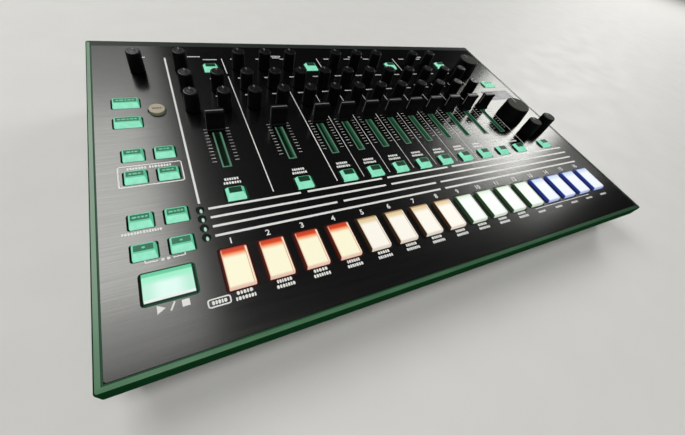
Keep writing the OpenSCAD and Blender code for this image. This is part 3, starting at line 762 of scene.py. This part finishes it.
start = push_button(START_SIZE, CAP_H, START_SLOPES, START_CORNER, PAD_EDGE)
mapped(start, START_SIZE)
finish_piece("start_stop_cap", start, "start_stop_button", [start_finish],
             ["start_stop_button"], place_at(*START_AT))
surround(*START_AT, START_SIZE, START_CORNER, START_SHADE_RING_W)

ROUND_EDGE = 0.6
# Printed bars across the round button: the place of each from its middle, and its length
ROUND_MARKS = ((-2.4, 1.1), (-1.1, 1.0), (0.1, 0.9), (1.2, 0.8), (2.4, 1.1))
ROUND_MARK_H = 1.5
ROUND_MARK_T = 0.03
round_cap = lathe([(0, FLANGE_BOTTOM), (ROUND_R + FLANGE_LIP, FLANGE_BOTTOM),
                   (ROUND_R + FLANGE_LIP, FLANGE_Z), (ROUND_R, FLANGE_Z)]
                  + arc((ROUND_R - ROUND_EDGE, CAP_H - ROUND_EDGE), ROUND_EDGE, 0, 90)
                  + [(0, CAP_H)])
for at_x, length in ROUND_MARKS:
    pill(round_cap, at_x, 0, length, ROUND_MARK_H, ROUND_MARK_T, CAP_H, 1)
finish_piece("round_button", round_cap, "function_buttons", [ivory_urea, brown_ink],
             ["function_buttons"], place_at(*ROUND_AT))
surround(*ROUND_AT, (2 * ROUND_R, 2 * ROUND_R), ROUND_R, ROUND_SHADE_RING_W)
finish_piece("opening_shade_rings", surrounds, "chassis", shade_ring_finishes)


# ---- faders ----
FADER_W = 11.9
FADER_H = 15.9
FADER_GAP = 0.6
LEVER = (2, 4)
LEVER_END = -8.5
# One side of a fader cap's section, from its foot up: four hollowed steps under a wider top
GRIP = ((3.3, FADER_GAP), (3.25, 2.4), (2.7, 2.9), (2.45, 5.2), (2.65, 5.4), (2.2, 7.8),
        (2.45, 8.0), (2.05, 10.4), (2.3, 10.6), (2.1, 12.8), (2.45, 14.2), (2.5, FADER_H - 0.5),
        (2.1, FADER_H))
GRIP_EDGE = 0.25
LINE_W = 0.7
LINE_INSET = 0.3
LINE_PROUD = 0.05
END_LINE_W = 0.6
END_LINE_FOOT = 6
END_LINE_PROUD = 0.04


def fader_cap(number, x):
    """Finger cap with stepped, hollowed grips and a grey line along its ridge, on its lever."""
    outline = [*GRIP] + [(-y, z) for y, z in reversed(GRIP)]
    mesh = prism(outline, FADER_W)
    ends = [e for e in mesh.edges if abs(e.verts[0].co.x - e.verts[1].co.x) < TINY]
    bevel(mesh, ends, GRIP_EDGE, 2)
    line_x = FADER_W / 2 - LINE_INSET
    line_z = FADER_H - LINE_INSET
    block(mesh, (-line_x, -LINE_W / 2, line_z), (line_x, LINE_W / 2, FADER_H + LINE_PROUD), 1)
    for side_x in (-FADER_W / 2, FADER_W / 2):
        block(mesh, (side_x - END_LINE_PROUD, -END_LINE_W / 2, END_LINE_FOOT),
              (side_x + END_LINE_PROUD, END_LINE_W / 2, line_z), 1)
    block(mesh, (-LEVER[0] / 2, -LEVER[1] / 2, LEVER_END), (LEVER[0] / 2, LEVER[1] / 2, FADER_GAP), 2)
    finish_piece(f"fader_cap_{number}", mesh, "fader_caps", [knob_abs, pointer_paint, zinc_steel],
                 ["fader_caps"], place_at(x, FADER_Y))


PIPE_W = 1.2
# Section of the light pipe round a slot, inwards from the slot's edge, with the finish of each side
PIPE = ((-1, -3.2, 3), (-1, -PLATE_T, 3), (0, -PLATE_T, 3), (0, 0.04, 3), (0.25, 0.12, 0),
        (1.1, 0.12, 0), (PIPE_W, 0.02, 1), (PIPE_W, -1.6, 2), (PIPE_W, -3.2, 3), (PIPE_W, -4.4, 3),
        (0.2, -4.4, 3), (0.2, -3.2, 3))
SLOT_CORNER = 0.6
DUST_LIP_GAP = 0.1
DUST_LIP_Z = (-3.8, -3.4)


def slot_frame(number, x):
    """Light pipe round one fader slot, with the two lips that close the slot against dust."""
    mesh = frame_of(SLOT_OUTER, SLOT_CORNER, PIPE)
    half_w = SLOT_OUTER[0] / 2 - PIPE_W
    half_l = SLOT_OUTER[1] / 2 - PIPE_W
    for s in (-1, 1):
        x0, x1 = sorted((s * half_w, s * DUST_LIP_GAP))
        block(mesh, (x0, -half_l, DUST_LIP_Z[0]), (x1, half_l, DUST_LIP_Z[1]), 3)
    finish_piece(f"slot_light_{number}", mesh, "chassis",
                 [pipe_green, pipe_wall, pipe_shade, shaded_green],
                 ["light_guides"], place_at(x, SLOT_Y))


for i, x in enumerate(fader_xs):
    fader_cap(i + 1, x)
    slot_frame(i + 1, x)


# ---- lamps, display ----
LAMP_FOOT = -3
# The lens's share of its well's radius, its place in the well, and how far both are drawn out
LENS_SHARE = 0.34
LENS_ASIDE = 0.5
LENS_FORWARD = 0.42
LENS_STRETCH = 1.9
WELL_STRETCH = 1.16
SCALE_LAMP = (2.3, 0.5)
MARK_LAMP = (1.2, 0.3)
MARK_LAMPS_AT = ((381, 203.7), (371.4, 196.4))
DISPLAY_TOP = -0.05
DISPLAY_CORNER = 0.6
DISPLAY_EDGE = 0.15


def lamp(name, x, y, radius, proud):
    """Lens of one indicator lamp: an oval dome near the front of a dark well."""
    core = radius * LENS_SHARE
    lens = lathe([(0, LAMP_FOOT), (core, LAMP_FOOT), (core, 0)]
                 + arc((0, 0), core, 0, 90, 4)[1:-1] + [(0, core)])
    for v in lens.verts:
        if v.co.z > 0:
            v.co.z *= proud / core
        v.co.x += core * LENS_ASIDE
        v.co.y = v.co.y * LENS_STRETCH - radius * LENS_FORWARD
    well = lathe([(0, LAMP_FOOT), (radius, LAMP_FOOT), (radius, 0.02), (radius * 0.92, 0.06),
                  (0, 0.04)])
    for v in well.verts:
        v.co.y *= WELL_STRETCH
    for face in well.faces:
        face.material_index = 1
    merge(lens, well)
    finish_piece(name, lens, "chassis", [lamp_lens, shaded_green], ["light_guides"],
                 place_at(x, y))


for i, y in enumerate(LAMP_YS):
    lamp(f"scale_lamp_{i + 1}", LAMP_X, y, *SCALE_LAMP)
for i, at in enumerate(MARK_LAMPS_AT):
    lamp(f"mark_lamp_{i + 1}", *at, *MARK_LAMP)

display = bmesh.new()
block(display, (-DISPLAY_SIZE[0] / 2, -DISPLAY_SIZE[1] / 2, -PLATE_T),
      (DISPLAY_SIZE[0] / 2, DISPLAY_SIZE[1] / 2, DISPLAY_TOP))
bevel(display, upright_edges(display, -PLATE_T, DISPLAY_TOP), DISPLAY_CORNER, 3)
bevel(display, level_face(display, DISPLAY_TOP).edges, DISPLAY_EDGE, 2)
finish_piece("display_window", display, "chassis", [smoked_acrylic],
             ["light_guides"], place_at(*DISPLAY_AT))


# ---- rim ----
GROOVE_Z = -0.3
LEDGE_END = RIM_W + RIM_LEDGE
GROOVE_END = RIM_W + 0.65
# Section of the rim and of the ledge that carries the plate, inwards from the machine's edge; finish 1 is the
# painted highlight along the top and finish 3 the painted shade in the groove
RIM = ((0.5, -RIM_H, 0), (0, -RIM_H + 0.5, 0), (0, -0.9, 0), (0.12, -0.45, 0), (0.35, -0.14, 0),
       (0.75, 0, 1), (2.8, 0, 3), (2.95, -0.06, 3), (RIM_W, GROOVE_Z, 3), (GROOVE_END, GROOVE_Z, 0),
       (GROOVE_END, -PLATE_T, 0), (LEDGE_END, -PLATE_T, 0), (LEDGE_END, -RIM_H, 0))
RIM_CORNER = 1.6
RIM_STEPS = 6
RIM_BACK = FACE_D / 2 - RIM_W
RIM_RIGHT = BODY_W / 2 - RIM_W
rim = frame_of((BODY_W, FACE_D), RIM_CORNER, RIM, RIM_STEPS)
# Painted shade: on the rear and right side, the top's painted highlight gives way to the dimmer copy
for face in rim.faces:
    middle = face.calc_center_median()
    if face.material_index == 1 and (middle.y > RIM_BACK or middle.x > RIM_RIGHT):
        face.material_index = 2
REAR_LIP_W = 4.4
REAR_LIP_T = 0.03
REAR_LIP_GAP = 0.3
REAR_LIP_LAP = 0.2
block(rim, (-RIM_RIGHT + REAR_LIP_GAP, RIM_BACK - REAR_LIP_W, 0),
      (RIM_RIGHT - REAR_LIP_GAP, RIM_BACK + REAR_LIP_LAP, REAR_LIP_T), 2)
finish_piece("rim_frame", rim, "chassis", [rim_acrylic_painted_glow, rim_painted_highlight, rim_painted_shade, rim_groove_painted_shade],
             ["edge_trim"], place_at(BODY_W / 2, FACE_D / 2))


# ---- print on the face ----
INK_T = 0.04
DIGIT_WEIGHT = 0.1
BAR_SHARES = (0.72, 0.52, 0.66, 0.44, 0.78, 0.58)
BAR_GAP = 0.18
ink = bmesh.new()


def ink_line(x0, y0, x1, y1, width):
    """A printed line between two points."""
    run = Vector((x1 - x0, y1 - y0))
    turn = Matrix.Rotation(math.atan2(run.y, run.x), 4, "Z")
    own = bmesh.new()
    block(own, (0, -width / 2, 0), (run.length, width / 2, INK_T))
    merge(ink, own, Matrix.Translation((x0, y0, 0)) @ turn)


def ink_box(x, y, width, length, corner, line):
    """A printed outline box with round corners."""
    merge(ink, flat_frame((width, length), corner, line, INK_T), Matrix.Translation((x, y, 0)))


def ink_digits(text, x, y, size):
    """Plain printed digits, centred on a point."""
    curve = bpy.data.curves.new("digits", "FONT")
    curve.body = text
    curve.size = size
    curve.align_x = "CENTER"
    curve.align_y = "CENTER"
    curve.extrude = INK_T / 2
    curve.offset = DIGIT_WEIGHT
    holder = bpy.data.objects.new("digits", curve)
    bpy.context.scene.collection.objects.link(holder)
    shown = holder.evaluated_get(bpy.context.evaluated_depsgraph_get())
    data = bpy.data.meshes.new_from_object(shown)
    data.transform(Matrix.Translation((x, y, INK_T / 2)))
    ink.from_mesh(data)
    bpy.data.objects.remove(holder)
    bpy.data.meshes.remove(data)
    bpy.data.curves.remove(curve)


def ink_sign(corners, x, y, size, turn):
    """A plain printed figure with that many corners."""
    own = bmesh.new()
    bmesh.ops.create_cone(own, cap_ends=True, segments=corners, radius1=size / 2, radius2=size / 2,
                          depth=INK_T)
    place = Matrix.Translation((x, y, INK_T / 2)) @ Matrix.Rotation(math.radians(turn), 4, "Z")
    merge(ink, own, place)


def ink_words(x, y, length, height, first=0):
    """A row of short bars of uneven length, which keeps the place of a printed word."""
    bars = []
    while sum(bars) + BAR_GAP * len(bars) < length / height:
        bars.append(BAR_SHARES[(first + len(bars)) % len(BAR_SHARES)])
    scale = length / (sum(bars) + BAR_GAP * (len(bars) - 1))
    at_x = x - length / 2
    for bar in bars:
        pill(ink, at_x + bar * scale / 2, y, bar * scale, height, INK_T)
        at_x += (bar + BAR_GAP) * scale


# The four lines over the pads: the height of each, and the pads before which it is broken
SCALE_ROWS = ((79.07, (3, 6, 9)), (72.8, (6,)), (66.55, (4, 8)), (60.3, (8,)))
SCALE_START = 57
SCALE_END = 380
SCALE_GAP = 4.6
SCALE_W = 1.5
for y, breaks in SCALE_ROWS:
    stops = [PAD_X + (b - 0.5) * PAD_PITCH for b in breaks]
    gaps = [s + side * SCALE_GAP / 2 for s in stops for side in (-1, 1)]
    ends = [SCALE_START] + gaps + [SCALE_END]
    for x0, x1 in zip(ends[::2], ends[1::2]):
        ink_line(x0, y, x1, y, SCALE_W)

# Lines between the channels, from front to rear
COLUMN_FOOT = 83.7
FIRST_COLUMN = (52.84, COLUMN_FOOT, 52.84, 235.3, 1.25)
COLUMNS = ((96.6, COLUMN_FOOT, 208), (96.6, 212, 234), (141.4, COLUMN_FOOT, 188),
           (184.65, 212, 234), (273.05, 212, 234))
COLUMN_W = 0.7
NARROW_SPANS = ((COLUMN_FOOT, 150), (158, 188))
NARROW_COLUMN_W = 0.42
ink_line(*FIRST_COLUMN)
for x, y0, y1 in COLUMNS:
    ink_line(x, y0, x, y1, COLUMN_W)
for i in range(NARROW_CHANNELS):
    x = NARROW_X + (i + 0.5) * CHANNEL_PITCH
    for y0, y1 in NARROW_SPANS:
        ink_line(x, y0, x, y1, NARROW_COLUMN_W)

TICKS = 11
TICK_PITCH = 3.11
TICK_LAST = 146
TICK_SPANS = ((-8.1, -5.4), (6.2, 8.9))
TICK_W = 0.28
for x in fader_xs:
    for i in range(TICKS):
        y = TICK_LAST - i * TICK_PITCH
        for start_x, end_x in TICK_SPANS:
            ink_line(x + start_x, y, x + end_x, y, TICK_W)

DIGIT_Y = 55.2
DIGIT_SIZE = 5.2
TWO_WORD_PADS = 11
# Words by faders and pads: how far back each stands, its length and height, and its first bar
WORD_ROWS = ((fader_xs, ((98.9, 8.6, 2.1, 0), (95.8, 10.4, 2.1, 3))),
             (pad_xs[:TWO_WORD_PADS], ((25, 8, 2, 0), (22.1, 9.8, 2, 3))),
             (pad_xs[TWO_WORD_PADS:], ((21.8, 8, 1.8, 0),)))
KNOB_WORD = (14.3, 6.8, 1.35)
LAST_PADS_LINE = (286, 25, 355.4, 25, 0.5)
for i, x in enumerate(pad_xs):
    ink_digits(str(i + 1), x, DIGIT_Y, DIGIT_SIZE)
for xs, words in WORD_ROWS:
    for i, x in enumerate(xs):
        for y, length, height, first in words:
            ink_words(x, y, length, height, i + first)
ink_line(*LAST_PADS_LINE)

for i, joint in enumerate(hinges):
    if joint["child"] not in KNOB_SIZES:
        at = TO_FACE @ Vector(joint["pos_m"])
        ink_words(at.x, at.y + KNOB_WORD[0], *KNOB_WORD[1:], i)

TITLES = ((32.8, 236, 12, 1.6), (73.75, 237, 12, 1.6), (87, 232.6, 11, 1.4), (145, 238, 10, 1.6),
          (145, 235.4, 7, 1.6), (229, 237, 16, 1.6), (308.75, 237, 10, 1.6), (24, 117.3, 10, 2),
          (36.4, 117.3, 12, 2), (18.2, 71.6, 9, 1.7), (27.8, 71.6, 9, 1.7))
for i, (x, y, length, height) in enumerate(TITLES):
    ink_words(x, y, length, height, i)
ink_box(31.3, 111.4, 34.6, 16.8, 1.6, 0.75)
ink_box(51.7, 23.4, 11, 4.6, 1.4, 0.7)
ink_words(51.7, 23.4, 7, 2.1)

# The bracket that joins the two front buttons at the left, with a dot on each side of its middle
BRACKET_X = 31.85
BRACKET_Y = 53
BRACKET_ENDS = (3.4, 9.1)
BRACKET_RISE = 1.4
BRACKET_W = 0.6
DOT_X = 1.3
DOT_SIZE = (1.5, 1.7)
for s in (-1, 1):
    inner, outer = (BRACKET_X + s * end for end in BRACKET_ENDS)
    ink_line(outer, BRACKET_Y + BRACKET_RISE, outer, BRACKET_Y, BRACKET_W)
    ink_line(outer, BRACKET_Y, inner, BRACKET_Y, BRACKET_W)
    pill(ink, BRACKET_X + s * DOT_X, BRACKET_Y, *DOT_SIZE, INK_T)

# Triangle, stroke and square in front of the start button
SIGN_Y = 27.6
SIGN_SIZE = 4.8
ink_sign(3, 26.4, SIGN_Y, SIGN_SIZE, -90)
ink_line(30.8, 25.6, 32.8, 29.6, 0.75)
ink_sign(4, 37.4, SIGN_Y, SIGN_SIZE, 45)
finish_piece("face_print", ink, "chassis", [white_ink])


# ---- rear sockets, feet ----
REAR_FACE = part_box("rear_panel")[1].y / MM
REAR_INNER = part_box("rear_panel")[0].y / MM
NUT = ((4.65, 0), (6.3, 0), (6.3, 1.1), (5.9, 1.5), (4.9, 1.5), (4.65, 1.2), (4.65, 0))
# A lining's outer and inner side, inwards from its socket's wall, and how far it is sunk
SHELL_OUT = 0.05
SHELL_IN = 0.5
SHELL_SUNK = 0.1
SHELL_DEPTH = 8
FIVE_PIN_R = 7.6
FIVE_PIN_Z = 27.5
USB_AT = (118, 24.5)
USB_MOUTH = (9, 8.4)
USB_DEPTH = 11
USB_CORNER = 0.5
INLET_AT = (142, 24.5)
INLET_R = 3.1
FOOT_R = 9
FOOT_EDGE = 0.6
FOOT_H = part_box("rubber_feet")[1].z / MM
FEET_AT = ((-178, -98), (178, -98), (-178, 94), (178, 94))


def nickel_piece(name, mesh, x, y, z):
    """A nickel-plated piece that was drawn facing up, on the rear wall and facing back."""
    place = ROW @ Matrix.Translation((x, y, z)) @ Matrix.Rotation(-math.pi / 2, 4, "X")
    finish_piece(name, mesh, "chassis", [nickel_plate], place=place)


def shell(name, x, z, radius):
    """Nickel lining of a round socket."""
    outer = radius - SHELL_OUT
    inner = radius - SHELL_IN
    lining = lathe([(inner, -SHELL_DEPTH), (outer, -SHELL_DEPTH), (outer, -SHELL_SUNK),
                    (inner, -SHELL_SUNK), (inner, -SHELL_DEPTH)])
    nickel_piece(name, lining, x, REAR_INNER, z)


for mount in frame["record"]["mounts"]:
    if mount["kind"] == "bore":
        x, _, z = (c / MM for c in mount["pos_m"])
        nickel_piece(mount["name"] + "_nut", lathe(NUT), x, REAR_FACE, z)
for i, box in enumerate(frame["record"]["physics"]["openings"]):
    middle = (box["box_m"][0][0] + box["box_m"][1][0]) / 2 / MM
    shell(f"five_pin_shell_{i + 1}", middle, FIVE_PIN_Z, FIVE_PIN_R)
shell("inlet_shell", *INLET_AT, INLET_R)
usb = frame_of(USB_MOUTH, USB_CORNER, ((SHELL_OUT, -USB_DEPTH, 0), (SHELL_OUT, -SHELL_SUNK, 0),
                                       (SHELL_IN, -SHELL_SUNK, 0), (SHELL_IN, -USB_DEPTH, 0)))
nickel_piece("usb_shell", usb, USB_AT[0], REAR_INNER, USB_AT[1])

for i, (x, y) in enumerate(FEET_AT):
    foot = lathe([(0, FOOT_H), (FOOT_R, FOOT_H), (FOOT_R, FOOT_EDGE)]
                 + arc((FOOT_R - FOOT_EDGE, FOOT_EDGE), FOOT_EDGE, 0, -90, 4)
                 + [(5.5, 0), (5, 0.5), (0, 0.5)])
    finish_piece(f"foot_{i + 1}", foot, "chassis", [foot_rubber], ["rubber_feet"],
                 ROW @ Matrix.Translation((x, y, 0)))


# ---- CAD nodes that show as they are ----
for node, finish in (("top_panel", brushed_face), ("bottom_case", tray_abs),
                     ("rear_panel", tray_abs), ("circuit_boards", solder_mask),
                     ("potentiometers", zinc_steel), ("phone_jacks", socket_nylon),
                     ("rear_sockets", socket_nylon), ("case_fasteners", black_steel),
                     ("power_button", tray_abs)):
    slots = frame["nodes"][node].data.materials
    slots.clear()
    slots.append(finish)


# ---- floor, light, camera ----
FLOOR_SIZE = 30
# Pale painted studio floor: even, with a faint broad mottling
floor_paint = textured("pale studio floor", "#d9d8d4", "#d2d1cc", 40, 0.01, (0.6, 0.7))
floor_mesh = bmesh.new()
bmesh.ops.create_grid(floor_mesh, x_segments=1, y_segments=1, size=FLOOR_SIZE / 2)
floor_data = bpy.data.meshes.new("floor")
floor_mesh.to_mesh(floor_data)
floor_mesh.free()
floor = bpy.data.objects.new("floor", floor_data)
floor_data.materials.append(floor_paint)
bpy.context.scene.collection.objects.link(floor)


def softbox(name, at, aim, size, radiance):
    """A soft rectangular lamp, in metres; radiance 1 shows as white."""
    light = bpy.data.lights.new(name, "AREA")
    light.shape = "RECTANGLE"
    light.size, light.size_y = size
    light.energy = radiance * math.pi * size[0] * size[1]
    holder = bpy.data.objects.new(name, light)
    holder.location = at
    holder.rotation_euler = (Vector(aim) - Vector(at)).to_track_quat("-Z", "Y").to_euler()
    holder.visible_camera = False
    bpy.context.scene.collection.objects.link(holder)


softbox("overhead_softbox", (-1.06, 1.95, 2.02), (-1.06, 1.95, 0), (1.78, 3.4), 1.6)
softbox("overhead_core", (-1.05, 1.485, 2), (-1.05, 1.485, 0), (1.4, 1.73), 2.2)
softbox("right_softbox", (2.28, 1.043, 1.098), (0.145, 0, 0.068), (0.71, 0.66), 12.5)
softbox("right_fill", (2.348, 0.635, 1.381), (0.213, -0.435, 0.351), (0.78, 0.5), 2.4)
softbox("front_softbox", (-0.15, -0.9, 3), (0, 0, 0), (1.8, 1.4), 5.2)

# The room: pale at the horizon, dark above the rear and grey above the front
world = bpy.data.worlds.new("studio")
bpy.context.scene.world = world
world.use_nodes = True
tree = world.node_tree
tree.nodes.clear()
direction = add(tree, "ShaderNodeTexCoord")
way = add(tree, "ShaderNodeSeparateXYZ", {"Vector": direction.outputs["Generated"]})
forward = add(tree, "ShaderNodeMapRange",
              {"Value": way.outputs["Y"], "From Min": -0.6, "From Max": 0.1},
              interpolation_type="SMOOTHSTEP")
above = add(tree, "ShaderNodeMix",
            {0: forward.outputs["Result"], 6: colour("#8a8a88"), 7: colour("#2e2e30")},
            data_type="RGBA")
height = add(tree, "ShaderNodeMapRange",
             {"Value": way.outputs["Z"], "From Min": 0.05, "From Max": 0.26},
             interpolation_type="SMOOTHSTEP")
sky = add(tree, "ShaderNodeMix",
          {0: height.outputs["Result"], 6: colour("#e4e3e1"), 7: above.outputs[2]},
          data_type="RGBA")
lit = add(tree, "ShaderNodeBackground", {"Color": sky.outputs[2], "Strength": 1})
add(tree, "ShaderNodeOutputWorld", {"Surface": lit.outputs["Background"]})

# The camera's place in face coordinates, and its directions there
CAMERA_AT = Vector((47.87, -36.62, 151.54))
CAMERA_VIEW = Vector((0.38326, 0.47559, -0.79179))
CAMERA_UP = Vector((0.1975, 0.79522, 0.57325))
tilted = FACE.to_3x3().normalized()
view = (tilted @ CAMERA_VIEW).normalized()
right = view.cross(tilted @ CAMERA_UP).normalized()
up = right.cross(view)
camera_data = bpy.data.cameras.new("camera")
camera_data.sensor_width = 36
camera_data.lens = 16.525
camera_data.shift_x = 0.0229
camera_data.shift_y = 0.0051
camera_data.clip_start = 0.01
camera = bpy.data.objects.new("camera", camera_data)
turned = Matrix((right, up, -view)).transposed().to_4x4()
camera.matrix_world = Matrix.Translation(FACE @ CAMERA_AT) @ turned
bpy.context.scene.collection.objects.link(camera)
bpy.context.scene.camera = camera
bpy.context.scene.view_settings.view_transform = "Standard"
